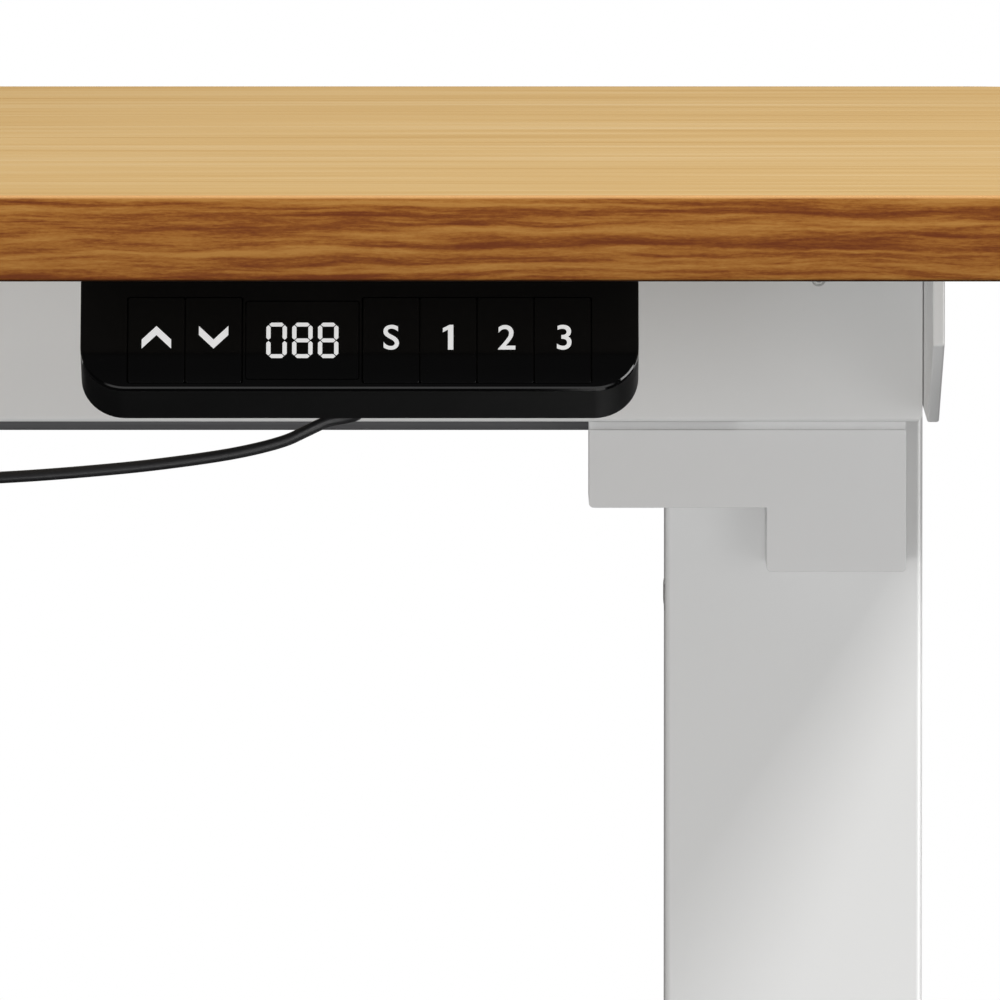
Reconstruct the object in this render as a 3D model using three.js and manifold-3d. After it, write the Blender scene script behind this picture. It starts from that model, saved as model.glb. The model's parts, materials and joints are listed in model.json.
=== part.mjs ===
// Height adjustable standing desk: a two-leg frame with one motor, a hex drive rod and a screw in each leg.
// Millimetres, +Z up, +X right, +Y back. The origin is on the floor under the middle of the desktop.
import * as THREE from 'three';
import { mergeVertices } from 'three/addons/utils/BufferGeometryUtils.js';
import Module from 'manifold-3d';

const wasm = await Module();
wasm.setup();

// ---- Driving dimensions ----
const GAP = 0.3; // between pieces that touch
const WELD = 0.5; // how far welded sheets run into each other

const TOP = { width: 1200, depth: 600, thick: 25, surface: 880, corner: 40, edge: 1.2 };
const BRACKET = { web: 3.6, flange: 2.6, reach: 40, length: 400, height: 52.7, tip: 24.9, taper: 78 };
const RAIL = { halfLength: 540, face: 72, height: 53.2, sheet: 2, flange: 20, corner: 2.4, bend: 1.5 };
const LIFT = { up: 300, down: 160, spare: 6 };
const COLUMN = { centre: 502, width: 78, depth: 50, wall: 1.5, corner: 2 };
const INNER = { play: 2, wall: 1.5, corner: 2 };
const SLEEVE = { length: 84, lip: 4, lipInset: 0.5 };
const HEAD = { inboard: 18, outboard: 34, sheet: 2.5 };
const FOOT = { length: 540, width: 76, height: 28, wall: 1.8, corner: 3, clearance: 14 };
const BASE = { length: 120, thick: 4, corner: 6 };
const CAP = { length: 10, plug: 14, round: 8 };
const GLIDE = { radius: 17, height: 9, stud: 4, studLength: 25, inset: 30, play: 0.6 };
const SCREW = { radius: 7, journal: 4, foot: 285, top: 26 };
const NUT = { height: 17, play: 0.4 };
const ROD = { flats: 10, y: -18.5, drop: 1, past: 11, play: 0.45 };
const GEAR = { face: 12, rodFace: 16 };
const BEARING = { radius: 11, height: 6.2 };
const HOUSING = { halfWidth: 20, front: -33, back: 14, bottom: 15.6, top: 16.4, wall: 2, bore: 5 };
const MOTOR = { radius: 17, length: 39.4, y: -46, drop: 6.8, boss: 6, bossLength: 1.2 };
const REDUCER = { inboard: 17.7, top: 1.6, corner: 4 };
const COVER = {
  inboard: 62.3, outboard: 33.2, step: 8.8, wall: 1.6, corner: 1.5,
  beforeMotor: 2.4, underMotor: 0.6, lower: 19.4, lip: 2.4, lipDepth: 1,
};
const PLAIN_COVER = { inboard: 42, face: -45 };
const BOX = { from: -460, to: -260, halfDepth: 42, height: 35, wall: 2, lid: 3.4, corner: 5, socket: 10 };
const BOARD = { inset: 8, thick: 1.6, lift: 5 };
const HANDSET = {
  centre: 372.15, setBack: 10, drop: 31.5, tilt: 30, width: 162.2, height: 35.8, thick: 20,
  face: 2, wall: 2, corner: 13, topCorner: 1.5,
};
const KEYS = { edge: 67.3, pitch: 16.6, low: 1.8, height: 27.4, travel: 0.5, stem: 3, stemSize: 6 };
const WINDOW = { margin: 1.2, thick: 1.5 };
const MOUNT = { width: 110, sheet: 2.4, low: 14, back: 78 };
const CORD = { radius: 1.75, sides: 8, steps: 78 };
const CLIP = { at: [40, -120], y: -62, width: 10, base: 1, ring: 1.05, halfBase: 7 };
const PLUG = { length: 16, width: 13, height: 9, nose: 5, y: -28, z: -23, nosePlay: 0.4 };
const RELIEF = { base: 4.4, tip: 2.7, length: 10, x: -0.15, up: 8 };

// The handset lead's route, from the strain relief to the plug. It hangs freely under the desktop.
const CORD_ROUTE = [
  [372.0, -259.3, 815.0], [371.0, -256.6, 813.4], [367.6, -254.8, 812.4], [362.9, -254.0, 811.4],
  [356.2, -253.0, 808.3], [350.5, -251.5, 805.6], [337.6, -248.0, 802.0], [314.3, -241.0, 798.0],
  [291.0, -233.0, 795.1], [267.5, -224.0, 792.8], [235.0, -208.0, 790.5], [200.0, -186.0, 789.2],
  [165.0, -158.0, 789.0], [130.0, -126.0, 790.2], [100.0, -96.0, 792.2], [75.0, -74.0, 794.2],
  [47.0, -62.2, 795.2], [33.0, -62.0, 795.2], [-5.0, -61.5, 793.8], [-40.0, -61.2, 793.0],
  [-75.0, -61.5, 793.8], [-113.0, -62.0, 795.2], [-127.0, -61.8, 795.2], [-148.0, -57.5, 795.0],
  [-165.0, -50.0, 796.4], [-181.0, -43.6, 803.5], [-196.0, -37.4, 814.0], [-212.0, -31.8, 825.0],
  [-228.0, -28.4, 831.2], [-243.1, -28.0, 832.0],
];

// ---- Levels and places worked out from the driving dimensions ----
const underside = TOP.surface - TOP.thick;
const bracketTop = underside - GAP;
const railTop = bracketTop - BRACKET.flange - GAP;
const railBottom = railTop - RAIL.height;
const headBottom = railBottom + RAIL.sheet + GAP;
const headTop = railTop - RAIL.sheet - GAP;
const columnTop = headBottom + WELD;
const footBottom = FOOT.clearance;
const footTop = footBottom + FOOT.height;
const baseTop = footTop + GAP + BASE.thick;
const columnBottom = baseTop + LIFT.down + LIFT.spare + SLEEVE.lip + GAP;
const rodZ = railBottom - ROD.drop;
const housingBottom = rodZ - HOUSING.bottom;
const housingTop = rodZ + HOUSING.top;
const innerTop = housingBottom - LIFT.down - LIFT.spare - 1;
const coverTop = railBottom - GAP;
const gearRadius = (-ROD.y - GAP) / 2;
const rodCorner = ROD.flats / Math.sqrt(3);
const coverBack = Math.min(-COLUMN.depth / 2, ROD.y - rodCorner) - GAP;
const coverFace = MOTOR.y - MOTOR.radius - COVER.beforeMotor - COVER.wall;
const boxTop = underside - GAP - BOX.lid - GAP;
const boxBottom = boxTop - BOX.height;
const handsetTilt = THREE.MathUtils.degToRad(HANDSET.tilt);

// ---- Shapes ----

function solidOf(geometry) {
  const bare = geometry.clone();
  for (const name of Object.keys(bare.attributes)) {
    if (name !== 'position') bare.deleteAttribute(name);
  }
  const merged = mergeVertices(bare, 1e-4);
  const triVerts = new Uint32Array(merged.index.array);
  const vertProperties = new Float32Array(merged.attributes.position.array);
  return new wasm.Manifold(new wasm.Mesh({ numProp: 3, vertProperties, triVerts }));
}

function geometryOf(solid) {
  const mesh = solid.getMesh();
  const geometry = new THREE.BufferGeometry();
  geometry.setAttribute('position', new THREE.BufferAttribute(mesh.vertProperties, 3));
  geometry.setIndex(new THREE.BufferAttribute(mesh.triVerts, 1));
  return geometry;
}

function join(...geometries) {
  return geometryOf(geometries.map(solidOf).reduce((whole, piece) => whole.add(piece)));
}

function cut(geometry, ...tools) {
  return geometryOf(tools.map(solidOf).reduce((whole, tool) => whole.subtract(tool), solidOf(geometry)));
}

function common(first, second) {
  return geometryOf(solidOf(first).intersect(solidOf(second)));
}

// A box between two corners.
function block(x0, x1, y0, y1, z0, z1) {
  const geometry = new THREE.BoxGeometry(x1 - x0, y1 - y0, z1 - z0);
  return geometry.translate((x0 + x1) / 2, (y0 + y1) / 2, (z0 + z1) / 2);
}

// A rectangle between two corners with its lower and upper corners rounded.
function roundedRect(x0, x1, y0, y1, lower, upper = lower) {
  const shape = new THREE.Shape();
  shape.moveTo(x0 + lower, y0);
  shape.lineTo(x1 - lower, y0);
  if (lower > 0) shape.absarc(x1 - lower, y0 + lower, lower, -Math.PI / 2, 0);
  shape.lineTo(x1, y1 - upper);
  if (upper > 0) shape.absarc(x1 - upper, y1 - upper, upper, 0, Math.PI / 2);
  shape.lineTo(x0 + upper, y1);
  if (upper > 0) shape.absarc(x0 + upper, y1 - upper, upper, Math.PI / 2, Math.PI);
  shape.lineTo(x0, y0 + lower);
  if (lower > 0) shape.absarc(x0 + lower, y0 + lower, lower, Math.PI, Math.PI * 1.5);
  return shape;
}

function polygon(points) {
  return new THREE.Shape(points.map(([x, y]) => new THREE.Vector2(x, y)));
}

// A shape drawn in X and Y, raised from z0 to z1.
function raise(shape, z0, z1, curveSegments = 4) {
  const geometry = new THREE.ExtrudeGeometry(shape, { depth: z1 - z0, bevelEnabled: false, curveSegments });
  return geometry.translate(0, 0, z0);
}

// A shape drawn in X and Z, drawn out from y0 to y1.
function drawAlongY(shape, y0, y1, curveSegments = 4) {
  return raise(shape, -y1, -y0, curveSegments).rotateX(Math.PI / 2);
}

// A shape drawn in Y and Z, drawn out from x0 to x1.
function drawAlongX(shape, x0, x1, curveSegments = 4) {
  const turn = new THREE.Matrix4().makeBasis(
    new THREE.Vector3(0, 1, 0), new THREE.Vector3(0, 0, 1), new THREE.Vector3(1, 0, 0));
  return raise(shape, x0, x1, curveSegments).applyMatrix4(turn);
}

// A ring or disc about Z: outer radius, and a hole when inner is above zero.
function ring(outer, inner, z0, z1, sides = 24) {
  const shape = new THREE.Shape().absarc(0, 0, outer, 0, Math.PI * 2);
  if (inner > 0) shape.holes.push(new THREE.Path().absarc(0, 0, inner, 0, Math.PI * 2, true));
  return raise(shape, z0, z1, sides / 2);
}

// A turned piece about Z from (radius, height) pairs, starting and ending on the axis.
function turned(points, sides = 24) {
  return new THREE.LatheGeometry(points.map(([r, z]) => new THREE.Vector2(r, z)), sides).rotateX(Math.PI / 2);
}

function onXAxis(geometry) {
  return geometry.rotateY(Math.PI / 2);
}

// A rectangular tube about Z, open at both ends.
function tube(width, depth, wall, corner, z0, z1) {
  const shape = roundedRect(-width / 2, width / 2, -depth / 2, depth / 2, corner);
  const bore = Math.max(corner - wall, GAP);
  shape.holes.push(
    roundedRect(-width / 2 + wall, width / 2 - wall, -depth / 2 + wall, depth / 2 - wall, bore));
  return raise(shape, z0, z1, 3);
}

// ---- Finishes ----
const finish = {
  wood: [0xc8985a, 0.5, 0],
  whitePaint: [0xe4e4e2, 0.45, 0.1],
  whitePlastic: [0xdededc, 0.5, 0],
  steel: [0x8f9296, 0.35, 0.9],
  darkSteel: [0x4a4b4e, 0.4, 0.8],
  blackPlastic: [0x1a1a1b, 0.55, 0],
  glossBlack: [0x050506, 0.08, 0],
  nylon: [0xe9e6da, 0.6, 0],
  board: [0x1e5a35, 0.6, 0],
};

function piece(parent, name, geometry, [color, roughness, metalness]) {
  const mesh = new THREE.Mesh(geometry, new THREE.MeshStandardMaterial({ color, roughness, metalness }));
  mesh.name = name;
  parent.add(mesh);
  return mesh;
}

// ---- Desktop: one board with rounded corners and softened edges ----
function desktop() {
  const { width, depth, thick, corner, edge } = TOP;
  const outline = roundedRect(-width / 2, width / 2, -depth / 2, depth / 2, corner);
  return new THREE.ExtrudeGeometry(outline, {
    depth: thick - 2 * edge, curveSegments: 10,
    bevelEnabled: true, bevelThickness: edge, bevelSize: edge, bevelOffset: -edge, bevelSegments: 2,
  }).translate(0, 0, underside + edge);
}

// ---- Crossbeam rails: folded channels, open towards the middle ----
function rail() {
  const { halfLength, face, sheet, flange, corner, bend } = RAIL;
  const outer = roundedRect(-face, -face + flange + bend, railBottom, railTop, bend);
  const channel = cut(
    drawAlongX(outer, -halfLength, halfLength),
    block(-halfLength - 1, halfLength + 1, -face + sheet, 0, railBottom + sheet, railTop - sheet),
    block(-halfLength - 1, halfLength + 1, -face + flange, 0, railBottom - 1, railTop + 1));
  const silhouette = roundedRect(-halfLength, halfLength, railBottom - 1, railTop, 0);
  const ends = roundedRect(-halfLength, halfLength, railBottom, railTop + 1, corner, 0);
  return common(channel, common(
    drawAlongY(silhouette, -face - 1, 0), drawAlongY(ends, -face - 2, 1)));
}

// The front rail's lower flange is notched where the motor stands up into the beam.
function frontRail() {
  const from = COLUMN.centre - COVER.inboard + COVER.wall;
  const to = COLUMN.centre - REDUCER.inboard;
  return cut(rail(), block(from, to, -RAIL.face + RAIL.sheet + RAIL.bend, 0, railBottom - 1, headBottom));
}

// ---- Side bracket: a tapered web with a flange that the desktop is screwed to ----
function sideBracket() {
  const half = BRACKET.length / 2;
  const web = polygon([
    [-half, bracketTop - BRACKET.tip], [-half + BRACKET.taper, bracketTop - BRACKET.height],
    [half - BRACKET.taper, bracketTop - BRACKET.height], [half, bracketTop - BRACKET.tip],
    [half, bracketTop], [-half, bracketTop],
  ]);
  const inside = RAIL.halfLength + GAP;
  return join(
    drawAlongX(web, inside, inside + BRACKET.web),
    block(inside - BRACKET.reach, inside + WELD, -half, half, bracketTop - BRACKET.flange, bracketTop));
}

// ---- Outer column: the fixed tube, welded to a channel that bolts in between the rails ----
function outerColumn() {
  const shell = tube(COLUMN.width, COLUMN.depth, COLUMN.wall, COLUMN.corner, columnBottom, columnTop);
  const reach = RAIL.face - RAIL.sheet - GAP;
  const left = -HEAD.inboard;
  const right = HEAD.outboard;
  const channel = cut(
    block(left, right, -reach, reach, headBottom, headTop),
    block(left - 1, right + 1, -reach + HEAD.sheet, reach - HEAD.sheet, headBottom + HEAD.sheet, headTop + 1));
  const halfHousing = HOUSING.halfWidth + GAP;
  return cut(
    join(shell, channel),
    block(-halfHousing, halfHousing, HOUSING.front - GAP, HOUSING.back + GAP, housingBottom - GAP, headTop),
    block(-COLUMN.width / 2 - 1, left, ROD.y - rodCorner - 1, ROD.y + rodCorner + 1,
      rodZ - rodCorner - 1, columnTop + 1));
}

// ---- Glide sleeve: the plastic liner in the column's mouth, with a lip under the tube's edge ----
function glideSleeve() {
  const lipBottom = columnBottom - GAP - SLEEVE.lip;
  const boreWidth = innerWidth() + 2 * GAP;
  const boreDepth = innerDepth() + 2 * GAP;
  const linerWidth = COLUMN.width - 2 * COLUMN.wall - 2 * GAP;
  const linerDepth = COLUMN.depth - 2 * COLUMN.wall - 2 * GAP;
  const liner = (linerWidth - boreWidth) / 2;
  const lipWidth = COLUMN.width - 2 * SLEEVE.lipInset;
  const lipDepth = COLUMN.depth - 2 * SLEEVE.lipInset;
  const lip = raise(roundedRect(
    -lipWidth / 2, lipWidth / 2, -lipDepth / 2, lipDepth / 2, COLUMN.corner), lipBottom, lipBottom + SLEEVE.lip, 3);
  const bore = block(-boreWidth / 2, boreWidth / 2, -boreDepth / 2, boreDepth / 2,
    lipBottom - 1, columnBottom + SLEEVE.length + 1);
  const body = tube(linerWidth, linerDepth, liner, 1, lipBottom + 1, columnBottom + SLEEVE.length);
  return cut(join(lip, body), bore);
}

// ---- Inner column: the sliding tube, welded to the plate that bolts to the foot ----
function innerWidth() {
  return COLUMN.width - 2 * COLUMN.wall - 2 * INNER.play;
}

function innerDepth() {
  return COLUMN.depth - 2 * COLUMN.wall - 2 * INNER.play;
}

function innerColumn() {
  const plate = roundedRect(-FOOT.width / 2, FOOT.width / 2, -BASE.length / 2, BASE.length / 2, BASE.corner);
  const shell = tube(innerWidth(), innerDepth(), INNER.wall, INNER.corner, baseTop - WELD, innerTop);
  return join(shell, raise(plate, footTop + GAP, baseTop));
}

function spindleNut() {
  const halfWidth = innerWidth() / 2 - INNER.wall - GAP;
  const halfDepth = innerDepth() / 2 - INNER.wall - GAP;
  const body = block(-halfWidth, halfWidth, -halfDepth, halfDepth, innerTop - NUT.height, innerTop);
  return cut(body, ring(SCREW.radius + NUT.play, 0, innerTop - NUT.height - 1, innerTop + 1));
}

// ---- Lifting screw and the gears in the housing ----
function spindle() {
  const shoulder = housingBottom - GAP;
  const { radius, journal, foot, top } = SCREW;
  return turned([
    [0, foot], [radius - 1, foot], [radius, foot + 1], [radius, shoulder - 1],
    [radius - 1, shoulder], [journal, shoulder], [journal, shoulder + top], [0, shoulder + top],
  ]);
}

function gearboxHousing() {
  const { halfWidth, front, back, wall, bore } = HOUSING;
  return cut(
    block(-halfWidth, halfWidth, front, back, housingBottom, housingTop),
    block(-halfWidth + wall, halfWidth - wall, front + wall, back - wall, housingBottom + wall, housingTop - wall),
    ring(bore, 0, housingBottom - 1, housingBottom + wall + 1),
    onXAxis(ring(rodCorner + 1, 0, -halfWidth - 1, -halfWidth + wall + 1)).translate(0, ROD.y, rodZ));
}

function spindleBearing() {
  const from = housingBottom + HOUSING.wall + GAP;
  return ring(BEARING.radius, SCREW.journal + GAP, from, from + BEARING.height);
}

function spindleGear() {
  return ring(gearRadius, SCREW.journal + GAP, rodZ - GEAR.face / 2, rodZ + GEAR.face / 2);
}

function rodGear() {
  return onXAxis(ring(gearRadius, rodCorner + ROD.play, -GEAR.rodFace / 2, GEAR.rodFace / 2));
}

function driveRod() {
  const reach = COLUMN.centre + ROD.past;
  const hexagon = new THREE.CylinderGeometry(rodCorner, rodCorner, 2 * reach, 6);
  return hexagon.rotateY(Math.PI / 6).rotateZ(Math.PI / 2).translate(0, ROD.y, rodZ);
}

// ---- Motor and its reduction box, in front of the right column ----
const motorZ = coverTop - MOTOR.drop;
const coverUpperBottom = motorZ - MOTOR.radius - COVER.underMotor - COVER.wall;
const coverLowerBottom = coverUpperBottom - COVER.lower;
const motorFrom = -COVER.inboard + COVER.wall + 2 * GAP;

function motor() {
  const { radius, length, boss, bossLength } = MOTOR;
  const profile = [
    [0, 0], [boss, 0], [boss, bossLength], [radius - 1, bossLength], [radius, bossLength + 1],
    [radius, length - 1], [radius - 1, length], [0, length],
  ];
  return onXAxis(turned(profile, 28)).translate(motorFrom, MOTOR.y, motorZ);
}

function reductionBox() {
  const inset = COVER.wall + 2 * GAP;
  const outline = lOutline(
    -REDUCER.inboard, COVER.outboard - inset, COVER.step - inset, railBottom - REDUCER.top,
    coverUpperBottom + inset, coverLowerBottom + inset, REDUCER.corner);
  return drawAlongY(outline, coverFace + COVER.lipDepth + inset, HOUSING.front - GAP);
}

// ---- Motor cover: an L-shaped moulding, open at the back and along the top ----
function lOutline(left, right, step, top, upperBottom, lowerBottom, r) {
  const shape = new THREE.Shape();
  shape.moveTo(left, top);
  shape.lineTo(left, upperBottom + r);
  shape.absarc(left + r, upperBottom + r, r, Math.PI, Math.PI * 1.5);
  shape.lineTo(-step, upperBottom);
  shape.lineTo(-step, lowerBottom + r);
  shape.absarc(-step + r, lowerBottom + r, r, Math.PI, Math.PI * 1.5);
  shape.lineTo(right - r, lowerBottom);
  shape.absarc(right - r, lowerBottom + r, r, -Math.PI / 2, 0);
  shape.lineTo(right, top);
  return shape;
}

function motorCover() {
  const { inboard, outboard, step, wall, corner, lip, lipDepth } = COVER;
  const outer = lOutline(-inboard, outboard, step, coverTop, coverUpperBottom, coverLowerBottom, corner);
  const inner = lOutline(
    -inboard + wall, outboard - wall, step - wall, coverTop + 1,
    coverUpperBottom + wall, coverLowerBottom + wall, GAP);
  return cut(
    drawAlongY(outer, coverFace, coverBack),
    drawAlongY(inner, coverFace + wall + lipDepth, coverBack + 1),
    block(-inboard - 1, outboard + 1, coverFace - 1, coverFace + lipDepth, coverTop - lip, coverTop + 1));
}

function plainCover() {
  const { outboard, wall, corner } = COVER;
  const left = -PLAIN_COVER.inboard;
  const outer = roundedRect(left, outboard, coverUpperBottom, coverTop, corner, 0);
  const inner = roundedRect(left + wall, outboard - wall, coverUpperBottom + wall, coverTop + 1, GAP, 0);
  return cut(
    drawAlongY(outer, PLAIN_COVER.face, coverBack),
    drawAlongY(inner, PLAIN_COVER.face + wall, coverBack + 1));
}

// ---- Foot: a box tube with a plastic cap at each end and two levelling glides ----
const glideY = FOOT.length / 2 - GLIDE.inset;

function foot() {
  const { length, width, height, wall, corner } = FOOT;
  const section = roundedRect(-width / 2, width / 2, footBottom, footTop, corner);
  section.holes.push(roundedRect(-width / 2 + wall, width / 2 - wall, footBottom + wall, footTop - wall, corner - wall));
  const bore = GLIDE.stud + GLIDE.play;
  const holes = [-1, 1].map((side) => ring(bore, 0, footBottom - 1, footBottom + wall + 1, 16)
    .translate(0, side * glideY, 0));
  return cut(drawAlongY(section, -length / 2, length / 2), ...holes);
}

function footCap() {
  const { width, height, wall, corner } = FOOT;
  const from = FOOT.length / 2 + GAP;
  const head = drawAlongY(
    roundedRect(-width / 2, width / 2, footBottom, footTop, corner), from, from + CAP.length);
  const plan = raise(roundedRect(-width / 2, width / 2, 0, from + CAP.length, 0, CAP.round), footBottom, footTop, 5);
  const inset = wall + GAP;
  const plug = block(-width / 2 + inset + 1, width / 2 - inset - 1, from - CAP.plug, from + WELD,
    footBottom + inset, footBottom + height - inset);
  return join(common(head, plan), plug);
}

function levellingGlide() {
  const { radius, height, stud, studLength } = GLIDE;
  return turned([
    [0, 0], [radius - 1, 0], [radius, 1], [radius, height - 4], [radius - 6, height],
    [stud, height], [stud, height + studLength], [0, height + studLength],
  ], 20);
}

// ---- Control box: a tray that closes against a lid screwed up under the desktop ----
function controlBox() {
  const { from, to, halfDepth, wall, corner, socket } = BOX;
  const outer = raise(roundedRect(from, to, -halfDepth, halfDepth, corner), boxBottom, boxTop);
  const inner = raise(
    roundedRect(from + wall, to - wall, -halfDepth + wall, halfDepth - wall, corner - wall),
    boxBottom + wall, boxTop + 1);
  const plugZ = underside + PLUG.z;
  const halfWide = PLUG.width / 2 - 1 + GAP;
  const halfHigh = PLUG.height / 2 - 1 + GAP;
  const handsetSocket = block(to - wall - 1, to + 1, PLUG.y - halfWide, PLUG.y + halfWide, plugZ - halfHigh, plugZ + halfHigh);
  const motorSocket = block(to - wall - 1, to + 1, -PLUG.y - socket, -PLUG.y + socket, plugZ - halfHigh, plugZ + halfHigh);
  const inlet = block(from - 1, from + wall + 1, -socket, socket, plugZ - socket / 2, plugZ + socket / 2);
  return cut(outer, inner, handsetSocket, motorSocket, inlet);
}

function controlBoxLid() {
  const { from, to, halfDepth, lid, corner } = BOX;
  const ears = 12;
  const plate = roundedRect(from - ears, to + ears, -halfDepth, halfDepth, corner);
  return raise(plate, boxTop + GAP, boxTop + GAP + lid);
}

function controlBoard() {
  const { from, to, halfDepth, wall } = BOX;
  const low = boxBottom + wall + BOARD.lift;
  return block(from + BOARD.inset, to - BOARD.inset, -halfDepth + BOARD.inset, halfDepth - BOARD.inset,
    low, low + BOARD.thick);
}

// ---- Handset, drawn flat: x along its width, y up its face, z out of its face ----
function handsetOutline(inset) {
  const { width, height, corner, topCorner } = HANDSET;
  return roundedRect(-width / 2 + inset, width / 2 - inset, inset, height - inset,
    corner - inset, Math.max(topCorner - inset, 0.4));
}

const leftKeys = [-KEYS.edge, -KEYS.edge + 2 * KEYS.pitch];
const rightKeys = [KEYS.edge - 4 * KEYS.pitch, KEYS.edge];

function handsetHousing() {
  const { thick, face, wall } = HANDSET;
  return cut(
    raise(handsetOutline(0), -thick, -face - GAP, 6),
    raise(handsetOutline(wall), -thick + wall, 0, 6));
}

function windowBox(clearance) {
  return roundedRect(
    leftKeys[1] + WINDOW.margin - clearance, rightKeys[0] - WINDOW.margin + clearance,
    KEYS.low + WINDOW.margin - clearance, KEYS.low + KEYS.height - WINDOW.margin + clearance, 0.6 + clearance);
}

function handsetFace() {
  const plate = handsetOutline(0);
  for (const [from, to] of [leftKeys, rightKeys]) {
    plate.holes.push(roundedRect(from - GAP, to + GAP, KEYS.low - GAP, KEYS.low + KEYS.height + GAP, 0.8));
  }
  plate.holes.push(windowBox(GAP));
  return raise(plate, -HANDSET.face, 0, 6);
}

function displayWindow() {
  return raise(windowBox(0), -WINDOW.thick, -0.1);
}

function key() {
  const half = KEYS.pitch / 2 - GAP / 2;
  const capBack = -HANDSET.face + KEYS.travel;
  const cap = raise(roundedRect(-half, half, KEYS.low, KEYS.low + KEYS.height, 0.6), capBack, 0, 2);
  const middle = KEYS.low + KEYS.height / 2;
  const stem = KEYS.stemSize / 2;
  const stemEnd = -HANDSET.face - KEYS.stem;
  return join(cap, block(-stem, stem, middle - stem, middle + stem, stemEnd, capBack + WELD));
}

function handsetBoard() {
  const { width, height, corner, face } = HANDSET;
  const level = -face - KEYS.stem - KEYS.travel - GAP;
  return block(-width / 2 + corner, width / 2 - corner, HANDSET.wall + 2, height - HANDSET.wall - 1,
    level - BOARD.thick, level);
}

function strainRelief() {
  const { base, tip, length } = RELIEF;
  return turned([[0, -length], [tip, -length], [base, -1], [base, 0], [0, 0]], 16);
}

// The bent plate between the handset's back and the desktop's underside, in the desk's own frame.
function handsetMount() {
  const along = [Math.sin(handsetTilt), Math.cos(handsetTilt)];
  const inward = [Math.cos(handsetTilt), -Math.sin(handsetTilt)];
  const point = (up, deep) => [
    handsetY + up * along[0] + deep * inward[0], handsetZ + up * along[1] + deep * inward[1]];
  const near = HANDSET.thick + GAP;
  const far = near + MOUNT.sheet;
  const ceiling = underside - GAP;
  const upTo = (level, deep) => (level - handsetZ - deep * inward[1]) / along[1];
  return drawAlongX(polygon([
    point(MOUNT.low, near), point(MOUNT.low, far), point(upTo(ceiling - MOUNT.sheet, far), far),
    [handsetY + MOUNT.back, ceiling - MOUNT.sheet], [handsetY + MOUNT.back, ceiling],
    point(upTo(ceiling, near), near),
  ]), HANDSET.centre - MOUNT.width / 2, HANDSET.centre + MOUNT.width / 2);
}

// ---- Handset lead, its clips and its plug ----
function handsetLead() {
  const route = new THREE.CatmullRomCurve3(
    CORD_ROUTE.map(([x, y, z]) => new THREE.Vector3(x, y, z)), false, 'centripetal');
  const section = new THREE.Shape();
  for (let i = 0; i < CORD.sides; i += 1) {
    const angle = (i / CORD.sides) * Math.PI * 2;
    const place = [Math.cos(angle) * CORD.radius, Math.sin(angle) * CORD.radius];
    if (i === 0) section.moveTo(...place);
    else section.lineTo(...place);
  }
  return new THREE.ExtrudeGeometry(section, { steps: CORD.steps, extrudePath: route });
}

function cableClip() {
  const { y, width, base, ring: band, halfBase } = CLIP;
  const inner = CORD.radius + GAP;
  const top = railBottom - GAP;
  const centre = top - base - inner;
  const loop = new THREE.Shape().absarc(y, centre, inner + band, 0, Math.PI * 2);
  const bore = new THREE.Shape().absarc(y, centre, inner, 0, Math.PI * 2);
  return cut(
    join(
      drawAlongX(loop, -width / 2, width / 2, 8),
      block(-width / 2, width / 2, y - halfBase, y + halfBase, top - base, top)),
    drawAlongX(bore, -width / 2 - 1, width / 2 + 1, 8),
    block(-width / 2 - 1, width / 2 + 1, y - halfBase - 1, y + halfBase + 1, top, top + inner));
}

function cablePlug() {
  const { length, width, height, nose, y, z, nosePlay } = PLUG;
  const middle = underside + z;
  const from = BOX.to + GAP;
  const body = drawAlongX(
    roundedRect(y - width / 2, y + width / 2, middle - height / 2, middle + height / 2, 1.5), from, from + length);
  const halfWide = width / 2 - 1 - nosePlay;
  const halfHigh = height / 2 - 1 - nosePlay;
  return join(body, block(from - nose, from + WELD, y - halfWide, y + halfWide, middle - halfHigh, middle + halfHigh));
}

// ---- Assembly ----
const desk = new THREE.Group();
const handsetY = -TOP.depth / 2 + HANDSET.setBack;
const handsetZ = underside - HANDSET.drop;

piece(desk, 'desktop', desktop(), finish.wood);
piece(desk, 'front_rail', frontRail(), finish.whitePaint);
piece(desk, 'rear_rail', rail(), finish.whitePaint).rotation.z = Math.PI;
piece(desk, 'drive_rod', driveRod(), finish.darkSteel);

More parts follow.
